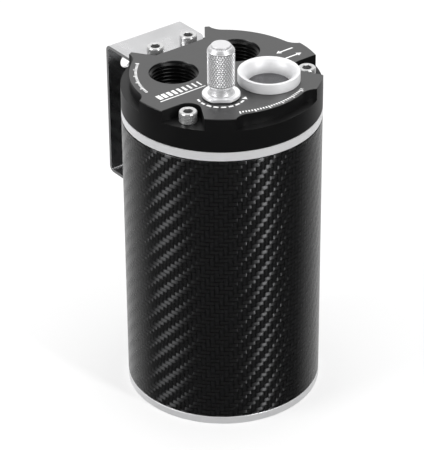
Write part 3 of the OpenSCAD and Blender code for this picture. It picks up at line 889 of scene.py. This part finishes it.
@dataclass
class Marks:
    """The plain marks printed on the lid: two scales, level blocks, two flow arrows and a turning arrow."""

    thickness: float = 0.04 * MM
    tick_w: float = 0.62 * MM
    short_share: float = 0.62
    blocks: int = 9
    blocks_left: float = -38.2 * MM
    blocks_y: float = -3.1 * MM
    blocks_h: float = 3.9 * MM
    blocks_step: float = 2.75 * MM
    blocks_slant: float = 1.0 * MM
    rule_drop: float = 3.5 * MM
    flow_x: float = 35.0 * MM
    dash_r: float = 10.8 * MM

    def build(self) -> Piece:
        """Prints all marks and joins them."""
        return join([
            *self.scale_arc(41.2 * MM, -116.0, -64.0, 27, 2.1 * MM),
            *self.scale_arc(40.2 * MM, 131.0, 173.0, 24, 1.9 * MM),
            *self.level_blocks(),
            *self.flow_arrows(),
            *self.turning_arrow(),
        ], "lid_marks")

    def bar(self, place: Place, length: float, width: float, degrees: float = 0.0,
            slant: float = 0.0) -> Piece:
        """Prints one bar.

        Args:
            place: X and Y of the bar's middle.
            length: Its length.
            width: Its width.
            degrees: The angle between its length and the X axis.
            slant: How far its far long side is moved along it.

        Returns:
            The bar, a print's thickness high.
        """
        deselect()
        bpy.ops.mesh.primitive_cube_add(
            size=1.0, location=(*place, LID_TOP + self.thickness / 2),
            rotation=(0.0, 0.0, math.radians(degrees)), scale=(length, width, self.thickness))
        bar = bpy.context.object
        for vertex in bar.data.vertices:
            vertex.select = vertex.co.y > 0
        with editing(bar, None):
            bpy.ops.transform.translate(value=(slant, 0.0, 0.0))
        settle(bar)
        return bar

    def arrow_head(self, place: Place, radius: float, degrees: float) -> Piece:
        """Prints one three-cornered arrow head that points along an angle."""
        deselect()
        bpy.ops.mesh.primitive_cylinder_add(
            vertices=3, radius=radius, depth=self.thickness, location=(*place, LID_TOP + self.thickness / 2),
            rotation=(0.0, 0.0, math.radians(degrees - 90.0)))
        head = bpy.context.object
        settle(head)
        return head

    def scale_arc(self, radius: float, start: float, end: float, count: int, length: float) -> list[Piece]:
        """Prints a row of ticks along an arc about the can's axis, each fifth one longer.

        Args:
            radius: Radius of the long ticks' outer ends.
            start: Angle of the first tick, in degrees.
            end: Angle of the last tick, in degrees.
            count: Number of ticks.
            length: Length of a long tick.

        Returns:
            The ticks.
        """
        ticks = []
        for index in range(count):
            degrees = start + (end - start) * index / (count - 1)
            reach = length * (1.0 if index % 5 == 0 else self.short_share)
            ticks.append(self.bar(polar(radius - length + reach / 2, degrees), reach, self.tick_w, degrees))
        return ticks

    def level_blocks(self) -> list[Piece]:
        """Prints a row of slanted blocks that thin out, with a rule under it."""
        blocks = [self.bar((self.blocks_left + index * self.blocks_step, self.blocks_y),
                           (2.05 - 0.16 * index) * MM, self.blocks_h, slant=self.blocks_slant)
                  for index in range(self.blocks)]
        rule = (self.blocks_left + 11.4 * MM, self.blocks_y - self.rule_drop)
        return [*blocks, self.bar(rule, 25.0 * MM, 0.6 * MM)]

    def flow_arrows(self) -> list[Piece]:
        """Prints one arrow towards the ports and one away from them."""
        arrows = []
        for y, way in ((-1.7 * MM, -1), (-8.1 * MM, 1)):
            arrows.append(self.bar((self.flow_x - way * 1.2 * MM, y), 7.2 * MM, 0.75 * MM))
            arrows.append(self.arrow_head((self.flow_x + way * 3.2 * MM, y), 1.55 * MM, 90.0 - way * 90.0))
        return arrows

    def turning_arrow(self) -> list[Piece]:
        """Prints the dashes and the arrow head that show which way the dipstick unscrews."""
        dashes = [self.bar(polar(self.dash_r, degrees, DIPSTICK_PLACE), 2.3 * MM, 1.0 * MM, degrees + 90.0)
                  for degrees in range(166, 293, 18)]
        return [*dashes, self.arrow_head(polar(self.dash_r, 310.0, DIPSTICK_PLACE), 1.5 * MM, 40.0)]


@dataclass
class Dipstick:
    """The dipstick: its knurled knob, its rod and its seal."""

    place: Place = DIPSTICK_PLACE
    grip_r: float = 6.2 * MM
    waist_r: float = 5.1 * MM
    waist_fillet: float = 1.3 * MM
    button_r: float = 4.5 * MM
    foot_r: float = 8.6 * MM
    foot_flat: float = 7.5 * MM
    foot_turn: float = CAMERA_SIDE
    foot_low: float = 163.2 * MM
    foot_high: float = 164.6 * MM
    grip_low: float = 168.8 * MM
    top: float = 188.4 * MM
    spigot_r: float = 5.0 * MM
    spigot_low: float = 151.8 * MM
    socket_r: float = 2.025 * MM
    socket_h: float = 6.0 * MM
    knurls_round: int = 30
    knurl_h: float = 2.16 * MM
    knurl_depth: float = 0.32 * MM
    knurl_sink: float = 0.06 * MM
    knurl_margin: float = 0.4 * MM
    crown_h: float = 2.9 * MM

    def build(self) -> None:
        """Makes the knob and dresses the rod and the seal."""
        knob = join([self.turned_body(), self.foot(), *self.knurling()], "dipstick_knob_finished")
        smooth(knob, 32.0)
        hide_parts("dipstick_knob")
        bright = Knurled("knob_aluminium", (0.72, 0.72, 0.73), metallic=0.68, axis=self.place, lines=7000.0,
                         core_r=self.core_r(), depth_r=self.knurl_depth)
        seat(knob, "dipstick", bright)
        dress_nodes(ROD_STEEL, "dipstick_rod")
        dress_nodes(RUBBER, "dipstick_seal")

    def core_r(self) -> float:
        """Returns the grip's radius at the bottom of its knurl."""
        return self.grip_r - self.knurl_depth

    def turned_body(self) -> Piece:
        """Turns the spigot, the waist, the grip's core and the crown with its button."""
        fillet = self.waist_fillet
        fillet_centre = (self.waist_r + fillet, self.foot_high + fillet)
        outline = [
            (0.0, self.spigot_low + self.socket_h),
            (self.socket_r, self.spigot_low + self.socket_h),
            (self.socket_r, self.spigot_low),
            (self.spigot_r - 0.5 * MM, self.spigot_low),
            (self.spigot_r, self.spigot_low + 0.5 * MM),
            (self.spigot_r, self.foot_low + 0.3 * MM),
            (self.waist_r + fillet, self.foot_low + 0.3 * MM),
            *[polar(-fillet, degrees, fillet_centre) for degrees in range(90, -1, -10)],
            (self.waist_r, self.grip_low - 1.3 * MM),
            (self.waist_r + 0.4 * MM, self.grip_low - 0.9 * MM),
            (self.grip_r - 0.15 * MM, self.grip_low),
            (self.grip_r - 0.05 * MM, self.grip_low + 0.2 * MM),
            (self.core_r(), self.grip_low + 0.45 * MM),
            (self.core_r(), self.top - 2.95 * MM),
            (self.grip_r, self.top - 2.7 * MM),
            (self.grip_r - 0.1 * MM, self.top - 2.45 * MM),
            (self.button_r + 0.55 * MM, self.top - 1.05 * MM),
            (self.button_r + 0.25 * MM, self.top - 1.0 * MM),
            (self.button_r, self.top - 0.8 * MM),
            (self.button_r, self.top - 0.3 * MM),
            (self.button_r - 0.3 * MM, self.top),
            (0.0, self.top),
        ]
        return lathe("knob_body", outline, self.place)

    def foot(self) -> Piece:
        """Makes the round foot and cuts its two wrench flats."""
        outline = [
            (0.0, self.foot_low),
            (self.foot_r - 0.2 * MM, self.foot_low),
            (self.foot_r, self.foot_low + 0.2 * MM),
            (self.foot_r, self.foot_high - 0.25 * MM),
            (self.foot_r - 0.25 * MM, self.foot_high),
            (0.0, self.foot_high),
        ]
        foot = lathe("knob_foot", outline, self.place)
        for degrees in (self.foot_turn, self.foot_turn + 180.0):
            normal = Vector((*polar(1.0, degrees), 0))
            with editing(foot):
                bpy.ops.mesh.bisect(plane_co=Vector((*self.place, self.foot_low)) + normal * self.foot_flat,
                                    plane_no=normal, use_fill=True, clear_outer=True)
        close_mesh(foot)
        return foot

    def knurling(self) -> list[Piece]:
        """Makes the two interleaved sets of knurl diamonds round the grip."""
        low = self.grip_low + self.knurl_margin
        room = self.top - self.crown_h - self.grip_low - self.knurl_margin
        rows = round(room / self.knurl_h)
        pitch = room / rows
        return [
            self.knurl_set("knurls_even", low + pitch / 2, 0.0, rows, pitch),
            self.knurl_set("knurls_odd", low + pitch, 180.0 / self.knurls_round, rows - 1, pitch),
        ]

    def knurl_set(self, name: str, z: float, turn: float, rows: int, pitch: float) -> Piece:
        """Makes rings of flat-topped diamonds.

        Args:
            name: The name of the new piece.
            z: Height of the lowest ring's middle.
            turn: Angle of the first diamond, in degrees.
            rows: Number of rings.
            pitch: Height of one diamond.

        Returns:
            All diamonds of the set as one piece.
        """
        width = FULL_TURN * self.core_r() / self.knurls_round
        middle_r = self.core_r() + (self.knurl_depth - self.knurl_sink) / 2
        deselect()
        bpy.ops.mesh.primitive_cone_add(
            vertices=4, radius1=1.0, radius2=0.3, depth=1.0, end_fill_type="NGON",
            location=(*polar(middle_r, turn), z), rotation=(0.0, math.pi / 2, math.radians(turn)),
            scale=(pitch / 2, width / 2, self.knurl_depth + self.knurl_sink))
        diamond = bpy.context.object
        diamond.name = name
        settle(diamond)
        bpy.ops.object.empty_add(location=(0, 0, 0), rotation=(0, 0, FULL_TURN / self.knurls_round))
        pivot = bpy.context.object
        modify(diamond, "rows", "ARRAY", count=rows, use_relative_offset=False, use_constant_offset=True,
               constant_offset_displace=(0, 0, pitch))
        modify(diamond, "round", "ARRAY", count=self.knurls_round, use_relative_offset=False,
               use_object_offset=True, offset_object=pivot)
        bpy.context.view_layer.update()
        apply_modifiers(diamond)
        bpy.data.objects.remove(pivot)
        diamond.location = (*self.place, 0)
        settle(diamond)
        close_mesh(diamond)
        return diamond


@dataclass
class Vent:
    """The vent: its bell-mouthed collar, the mesh at its bottom and its seal."""

    place: Place = (11.224 * MM, -20.056 * MM)
    outer_r: float = 14.2 * MM
    throat_r: float = 9.7 * MM
    rim_w: float = 0.6 * MM
    top: float = 167.8 * MM
    throat_z: float = 161.3 * MM
    spigot_r: float = 11.5 * MM
    spigot_low: float = 157.8 * MM
    mesh_r: float = 10.35 * MM
    edge: float = 0.35 * MM

    def build(self) -> None:
        """Makes the collar and dresses the mesh, its ring and the seal."""
        collar = lathe("vent_collar_finished", self.outline(), self.place, 128)
        smooth(collar, 40.0)
        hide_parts("vent_collar")
        satin = Turned("collar_aluminium", (0.76, 0.76, 0.77), roughness=0.48, metallic=0.36, axis=self.place,
                       lines=6000.0)
        seat(collar, "root", satin)
        dress_nodes(satin, "mesh_ring")
        dress_nodes(MESH_WIRE, "vent_mesh")
        dress_nodes(RUBBER, "vent_seal")

    def outline(self) -> Outline:
        """Returns the collar's section, from the spigot up the outside and down the bell."""
        width = self.outer_r - self.rim_w - self.throat_r
        height = self.top - self.throat_z
        bell = [(self.throat_r + width * (1 - math.cos(math.radians(a))),
                 self.throat_z + height * math.sin(math.radians(a))) for a in range(87, -1, -3)]
        return [
            (self.spigot_r, self.spigot_low),
            (self.spigot_r, LID_TOP),
            (self.outer_r - 0.2 * MM, LID_TOP),
            (self.outer_r, LID_TOP + 0.2 * MM),
            (self.outer_r, self.top - self.edge),
            (self.outer_r - self.edge * 0.3, self.top - self.edge * 0.3),
            (self.outer_r - self.edge, self.top),
            *bell,
            (self.mesh_r, self.throat_z),
            (self.mesh_r, self.spigot_low),
            (self.spigot_r, self.spigot_low),
        ]


@dataclass
class Bracket:
    """The folded wall bracket."""

    edge_break: float = 0.18 * MM

    def build(self) -> None:
        """Makes the bracket with its edges broken."""
        bracket = softened("bracket", self.edge_break)
        seat(bracket, "root", BRACKET_STEEL)


@dataclass
class SocketScrew:
    """A socket head screw with a ribbed head."""

    node: str
    angle: float
    head_low: float
    shank: float
    circle_r: float = 39.0 * MM
    head_r: float = 4.25 * MM
    head_h: float = 5.0 * MM
    head_chamfer: float = 0.42 * MM
    shank_r: float = 2.5 * MM
    shank_chamfer: float = 0.6 * MM
    key: float = 4.0 * MM
    socket_h: float = 2.6 * MM
    mouth: float = 0.25 * MM
    plain_h: float = 0.75 * MM
    ribs: int = 48
    rib_share: float = 0.98

    def build(self) -> None:
        """Makes the screw and puts it in the node's place."""
        centre = polar(self.circle_r, self.angle)
        screw = lathe(f"{self.node}_finished", self.outline(), centre, 2 * self.ribs)
        self.cut_ribs(screw, centre)
        self.cut_socket(screw, centre)
        close_mesh(screw)
        smooth(screw, 25.0)
        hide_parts(self.node)
        steel = SocketSteel(f"bolt_steel_{self.node}", (0.76, 0.76, 0.76), roughness=0.27, metallic=0.8,
                            axis=centre, lines=6500.0, socket_r=self.socket_r() + 0.02 * MM,
                            socket_top=self.top() - self.mouth)
        seat(screw, "root", steel)

    def top(self) -> float:
        """Returns the height of the head's upper face."""
        return self.head_low + self.head_h

    def socket_r(self) -> float:
        """Returns the radius through the socket's corners."""
        return self.key / math.sqrt(3)

    def outline(self) -> Outline:
        """Returns the screw's section, from the countersunk socket mouth over the head to the shank's tip."""
        side_r = self.head_r - 0.05 * MM
        return [
            (0.0, self.top() - self.mouth),
            (self.socket_r() - self.mouth, self.top() - self.mouth),
            (self.socket_r() + 0.15 * MM, self.top()),
            (self.head_r - self.head_chamfer, self.top()),
            (side_r, self.top() - self.head_chamfer),
            (side_r, self.top() - self.plain_h),
            (side_r, self.head_low + self.plain_h),
            (side_r, self.head_low + 0.25 * MM),
            (self.head_r - 0.3 * MM, self.head_low),
            (self.shank_r, self.head_low),
            (self.shank_r, self.head_low - self.shank + self.shank_chamfer),
            (self.shank_r - self.shank_chamfer, self.head_low - self.shank),
            (0.0, self.head_low - self.shank),
        ]

    def cut_socket(self, screw: Piece, centre: Place) -> None:
        """Cuts the six-sided socket out of the head."""
        deselect()
        bpy.ops.mesh.primitive_cylinder_add(
            vertices=6, radius=self.socket_r(), depth=2 * self.socket_h, location=(*centre, self.top()))
        key = bpy.context.object
        settle(key)
        modify(screw, "socket", "BOOLEAN", operation="DIFFERENCE", solver="EXACT", object=key)
        apply_modifiers(screw)
        bpy.data.objects.remove(key)

    def cut_ribs(self, screw: Piece, centre: Place) -> None:
        """Pulls each second line of the head's side inwards."""
        for vertex in screw.data.vertices:
            dx, dy = vertex.co.x - centre[0], vertex.co.y - centre[1]
            line = round(math.atan2(dy, dx) / (math.pi / self.ribs))
            ribbed = abs(vertex.co.z - self.head_low - self.head_h / 2) < self.head_h / 2 - 0.6 * MM
            vertex.select = line % 2 == 1 and ribbed and math.hypot(dx, dy) > self.head_r - 0.2 * MM
        with editing(screw, None):
            bpy.ops.transform.resize(value=(self.rib_share, self.rib_share, 1.0),
                                     center_override=(*centre, self.head_low))


@dataclass
class Fasteners:
    """All screws of the can, and the drain plug."""

    shank: float = 19.8 * MM
    sheet: float = 1.5 * MM
    bracket_half_angle: float = 14.0

    def build(self) -> None:
        """Makes the four lid screws and dresses the hidden ones."""
        for node, angle in (("lid_bolt_left", 210.0), ("lid_bolt_right", 330.0)):
            SocketScrew(node, angle, LID_FLOOR, self.shank).build()
        for node, side in (("bracket_bolt_left", 1), ("bracket_bolt_right", -1)):
            SocketScrew(node, 90.0 + side * self.bracket_half_angle, LID_FLOOR + self.sheet,
                        self.shank + self.sheet).build()
        dress_nodes(HIDDEN_STEEL, "separator_screw_back", "separator_screw_left", "separator_screw_right",
                    "drain_plug")


def toward(azimuth: float, elevation: float) -> Vector:
    """Returns the direction from the can towards a place in the studio.

    Args:
        azimuth: Degrees to the right of the camera, seen from the can.
        elevation: Degrees above the floor.

    Returns:
        A unit vector in the can's frame.
    """
    a, e = math.radians(CAMERA_SIDE + 90.0 + azimuth), math.radians(elevation)
    return Vector((math.sin(a) * math.cos(e), -math.cos(a) * math.cos(e), math.sin(e)))


@dataclass(frozen=True)
class Softbox:
    """One rectangular area light that faces the can's middle."""

    name: str
    azimuth: float
    elevation: float
    distance: float
    size: tuple[float, float]
    power: float
    aim_h: float = 0.09

    def build(self) -> None:
        """Hangs the light."""
        data = bpy.data.lights.new(self.name, "AREA")
        data.shape = "RECTANGLE"
        data.size, data.size_y = self.size
        data.energy = self.power
        light = add_object(self.name, data)
        away = toward(self.azimuth, self.elevation)
        light.location = Vector((0, 0, self.aim_h)) + away * self.distance
        light.rotation_mode = "QUATERNION"
        light.rotation_quaternion = away.to_track_quat("Z", "Y")


@dataclass
class Studio:
    """The pale floor, the soft lights and the camera that took the photograph's view."""

    lights: Sequence[Softbox] = (
        Softbox("left_softbox", azimuth=-67.0, elevation=28.0, distance=1.3, size=(0.56, 1.1), power=9.0),
        Softbox("right_strip", azimuth=47.5, elevation=28.0, distance=1.3, size=(0.16, 1.1), power=8.5),
        Softbox("top_softbox", azimuth=170.0, elevation=70.0, distance=1.4, size=(1.4, 1.4), power=9.5),
    )
    distance: float = 0.981
    height: float = 0.67296
    pitch: float = 0.5425
    yaw: float = -0.0051
    roll: float = -0.0085
    lens: float = 195.28
    floor_half: float = 4.0
    floor_color: Color = (0.72, 0.72, 0.72)
    floor_glow: float = 1.1
    glow_near: float = 0.4
    near_r: float = 0.1
    far_r: float = 0.5
    room: float = 0.85
    front_dark: float = 0.003
    back_azimuth: float = -176.0
    back_start: float = 0.08

    def build(self) -> None:
        """Makes the floor, the world, the lights and the camera."""
        self.floor()
        self.world()
        for light in self.lights:
            light.build()
        self.camera()

    def camera(self) -> None:
        """Places the camera where the photograph was taken from."""
        sin_p, cos_p = math.sin(self.pitch), math.cos(self.pitch)
        sin_y, cos_y = math.sin(self.yaw), math.cos(self.yaw)
        ahead = Vector((sin_y * cos_p, cos_y * cos_p, -sin_p))
        right = Vector((cos_y, -sin_y, 0))
        up = right.cross(ahead)
        sin_r, cos_r = math.sin(self.roll), math.cos(self.roll)
        right, up = right * cos_r + up * sin_r, up * cos_r - right * sin_r
        view = Matrix((right, up, -ahead)).transposed().to_4x4()
        view.translation = Vector((0, -self.distance, self.height))
        data = bpy.data.cameras.new("camera")
        data.lens = self.lens
        data.sensor_width = 36.0
        data.clip_start, data.clip_end = 0.05, 20.0
        camera = add_object("camera", data)
        camera.matrix_world = Matrix.Rotation(math.radians(CAMERA_SIDE + 90.0), 4, "Z") @ view
        bpy.context.scene.camera = camera

    @staticmethod
    def seen(wiring: Wiring, path: Node) -> Socket:
        """Returns 1 for what the camera sees directly or through something clear."""
        return wiring.math("MAXIMUM", path.outputs["Is Camera Ray"], path.outputs["Is Transmission Ray"])

    def floor(self) -> None:
        """Lays the floor: near white to the camera with a soft shadow, and not in the way of reflections."""
        deselect()
        bpy.ops.mesh.primitive_plane_add(size=2 * self.floor_half, location=(0, 0, 0))
        floor = bpy.context.object
        floor.name = "studio_floor"
        made = bpy.data.materials.new("studio_floor")
        wiring = Wiring(blank_tree(made))
        path = wiring.node("ShaderNodeLightPath")
        diffuse = wiring.node("ShaderNodeBsdfDiffuse", (*self.floor_color, 1.0))
        glow = wiring.node("ShaderNodeEmission")
        wiring.feeds(glow, {"Strength": self.floor_glow})
        away = wiring.node("ShaderNodeVectorMath", wiring.place(), operation="LENGTH")
        share = wiring.ramp(away.outputs["Value"], self.near_r, self.far_r, self.glow_near)
        lit = wiring.mix(wiring.times(self.seen(wiring, path), share), diffuse.outputs[0], glow.outputs[0])
        clear = wiring.node("ShaderNodeBsdfTransparent").outputs[0]
        wiring.show("ShaderNodeOutputMaterial", wiring.mix(path.outputs["Is Glossy Ray"], lit, clear))
        floor.data.materials.append(made)

    def world(self) -> None:
        """Makes the room: white to the camera, and in reflections white behind the can and dark before it."""
        world = bpy.data.worlds.new("studio")
        bpy.context.scene.world = world
        wiring = Wiring(blank_tree(world))
        path = wiring.node("ShaderNodeLightPath")
        backward = wiring.node("ShaderNodeVectorMath", wiring.node("ShaderNodeTexCoord").outputs["Generated"],
                               toward(self.back_azimuth, 0.0), operation="DOT_PRODUCT")
        mirrored = wiring.ramp(backward.outputs["Value"], self.back_start, 1.0, self.front_dark, self.room)
        plain = wiring.blend(path.outputs["Is Glossy Ray"], self.room, mirrored)
        strength = wiring.blend(self.seen(wiring, path), plain, 1.0)
        background = wiring.node("ShaderNodeBackground", (1.0, 1.0, 1.0, 1.0), strength)
        wiring.show("ShaderNodeOutputWorld", background.outputs[0])
        bpy.context.scene.view_settings.view_transform = "Standard"


def main() -> None:
    """Builds the can's sub-assemblies and the studio in order."""
    logging.basicConfig(level=logging.INFO, format="%(name)s: %(message)s")
    for assembly in (Can(), Lid(), Dipstick(), Vent(), Bracket(), Fasteners(), Studio()):
        LOG.info("building %s", type(assembly).__name__)
        assembly.build()


if __name__ == "__main__":
    main()
